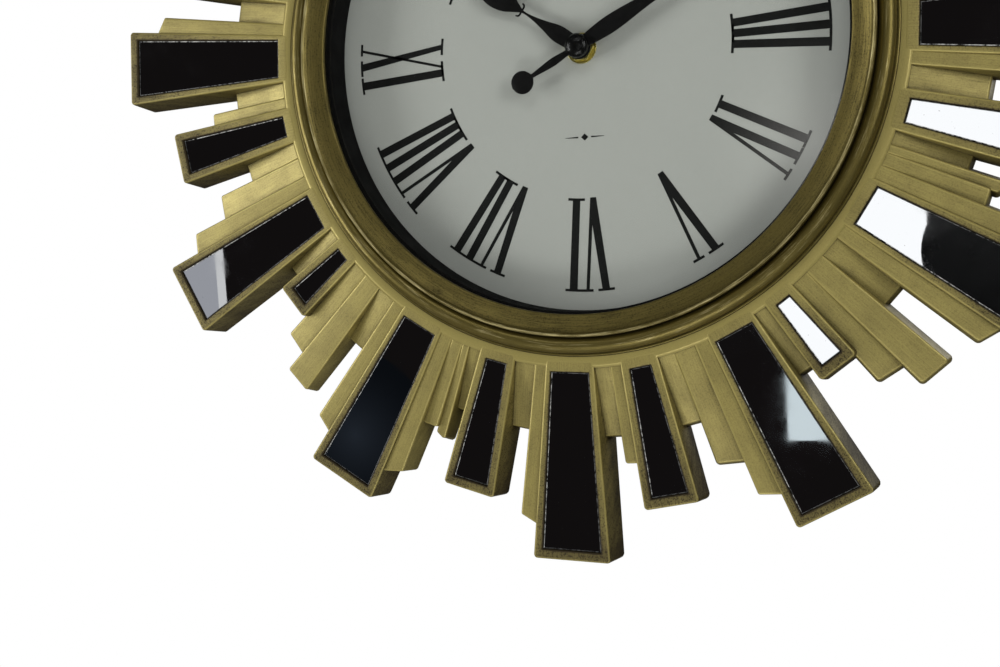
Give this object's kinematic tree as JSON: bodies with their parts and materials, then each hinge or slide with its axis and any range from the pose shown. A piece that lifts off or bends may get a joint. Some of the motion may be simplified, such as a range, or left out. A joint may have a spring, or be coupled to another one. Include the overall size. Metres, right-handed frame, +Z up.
{
  "type": "wall clock",
  "caption": "Sunburst wall clock: a gilt ring of tapered rays with mirror strips around a glazed roman dial, hung by a keyhole plate, with a battery movement.",
  "frame": {"origin": "where the nail's axis meets the wall, at the end of the hanger plate's keyhole slot; the hands turn about a line 125 mm below it", "axes": "+X to the right as the dial is read, +Z up towards twelve, and -Y out of the wall towards the viewer"},
  "size_m": [0.4634, 0.0511, 0.4634],
  "materials": {
    "gold_frame": "antiqued champagne-gold paint on moulded resin, with a brown wash",
    "gold_bezel": "antiqued champagne-gold paint, brushed round",
    "mirror": "silvered glass strip",
    "lens": "clear flat glass",
    "dial": "printed matt card, warm grey",
    "hardboard": "brown hardboard",
    "well": "black matt",
    "steel": "zinc plated",
    "iron": "bare",
    "black_plastic": "moulded black",
    "rubber": "black",
    "brass": "turned, bright",
    "white_plastic": "moulded natural acetal",
    "copper": "enamelled copper wire",
    "battery": "printed sleeve, no words",
    "circuit": "green board with a black chip",
    "hand_paint": "stamped aluminium, black paint",
    "cap": "turned brass, black paint"
  },
  "bodies": {
    "clock": {"sunburst_frame": "gold_frame", "bezel_ring": "gold_bezel", "mirror_large_01": "mirror", "mirror_large_02": "mirror", "mirror_large_03": "mirror", "mirror_large_04": "mirror", "mirror_large_05": "mirror", "mirror_large_06": "mirror", "mirror_large_07": "mirror", "mirror_large_08": "mirror", "mirror_large_09": "mirror", "mirror_large_10": "mirror", "mirror_large_11": "mirror", "mirror_large_12": "mirror", "mirror_small_01": "mirror", "mirror_small_02": "mirror", "mirror_small_03": "mirror", "mirror_small_04": "mirror", "mirror_small_05": "mirror", "mirror_small_06": "mirror", "mirror_small_07": "mirror", "mirror_small_08": "mirror", "mirror_small_09": "mirror", "mirror_small_10": "mirror", "mirror_small_11": "mirror", "mirror_small_12": "mirror", "glass_lens": "lens", "dial_face": "dial", "dial_board": "hardboard", "well_ring": "well", "board_screw_1": "steel", "board_screw_2": "steel", "board_screw_3": "steel", "hanger_plate": "steel", "hanger_screw_1": "steel", "hanger_screw_2": "steel", "contact_negative": "steel", "contact_positive": "steel", "stator": "iron", "movement_case": "black_plastic", "movement_lid": "black_plastic", "rubber_washer": "rubber", "brass_washer": "brass", "hex_nut": "brass", "train_plate": "white_plastic", "coil": "copper", "battery": "battery", "circuit_board": "circuit"},
    "minutes": {"minute_arbor": "brass", "minute_hand": "hand_paint", "cap_nut": "cap"},
    "hours": {"hour_wheel": "white_plastic", "hour_hand": "hand_paint"},
    "minute_wheel_body": {"minute_wheel": "white_plastic"},
    "knob": {"setting_knob": "black_plastic"},
    "seconds": {"seconds_wheel": "white_plastic"},
    "third": {"third_wheel": "white_plastic"},
    "centre": {"centre_wheel": "brass"},
    "intermediate": {"intermediate_wheel": "white_plastic"},
    "rotor_body": {"rotor": "iron"}
  },
  "joints": [
    {"name": "minute_hand_turn", "type": "hinge", "parent": "clock", "child": "minutes", "pos_m": [0, -0.03, -0.125], "axis": [0, 1, 0], "continuous": true},
    {"name": "hour_hand_turn", "type": "hinge", "parent": "clock", "child": "hours", "pos_m": [0, -0.03, -0.125], "axis": [0, 1, 0], "continuous": true},
    {"name": "minute_wheel_turn", "type": "hinge", "parent": "clock", "child": "minute_wheel_body", "pos_m": [0.00306, -0.018, -0.1303], "axis": [0, 1, 0], "continuous": true},
    {"name": "knob_turn", "type": "hinge", "parent": "clock", "child": "knob", "pos_m": [0.00909, -0.008, -0.13136], "axis": [0, 1, 0], "continuous": true},
    {"name": "seconds_wheel_turn", "type": "hinge", "parent": "clock", "child": "seconds", "pos_m": [-0.016, -0.011, -0.12339], "axis": [0, 1, 0], "continuous": true},
    {"name": "third_wheel_turn", "type": "hinge", "parent": "clock", "child": "third", "pos_m": [-0.0079, -0.01, -0.12044], "axis": [0, 1, 0], "continuous": true},
    {"name": "centre_wheel_turn", "type": "hinge", "parent": "clock", "child": "centre", "pos_m": [0, -0.008, -0.125], "axis": [0, 1, 0], "continuous": true},
    {"name": "intermediate_wheel_turn", "type": "hinge", "parent": "clock", "child": "intermediate", "pos_m": [-0.01856, -0.013, -0.11895], "axis": [0, 1, 0], "continuous": true},
    {"name": "rotor_turn", "type": "hinge", "parent": "clock", "child": "rotor_body", "pos_m": [-0.01425, -0.013, -0.11149], "axis": [0, 1, 0], "continuous": true}
  ],
  "couplings": [
    {"joint": "hour_hand_turn", "follows": "minute_hand_turn", "ratio": 0.083333},
    {"joint": "minute_wheel_turn", "follows": "minute_hand_turn", "ratio": -0.33333},
    {"joint": "knob_turn", "follows": "minute_hand_turn", "ratio": 1},
    {"joint": "intermediate_wheel_turn", "follows": "rotor_turn", "ratio": -0.13333},
    {"joint": "seconds_wheel_turn", "follows": "rotor_turn", "ratio": 0.033333},
    {"joint": "third_wheel_turn", "follows": "rotor_turn", "ratio": -0.0044444},
    {"joint": "centre_wheel_turn", "follows": "rotor_turn", "ratio": 0.00055556}
  ]
}
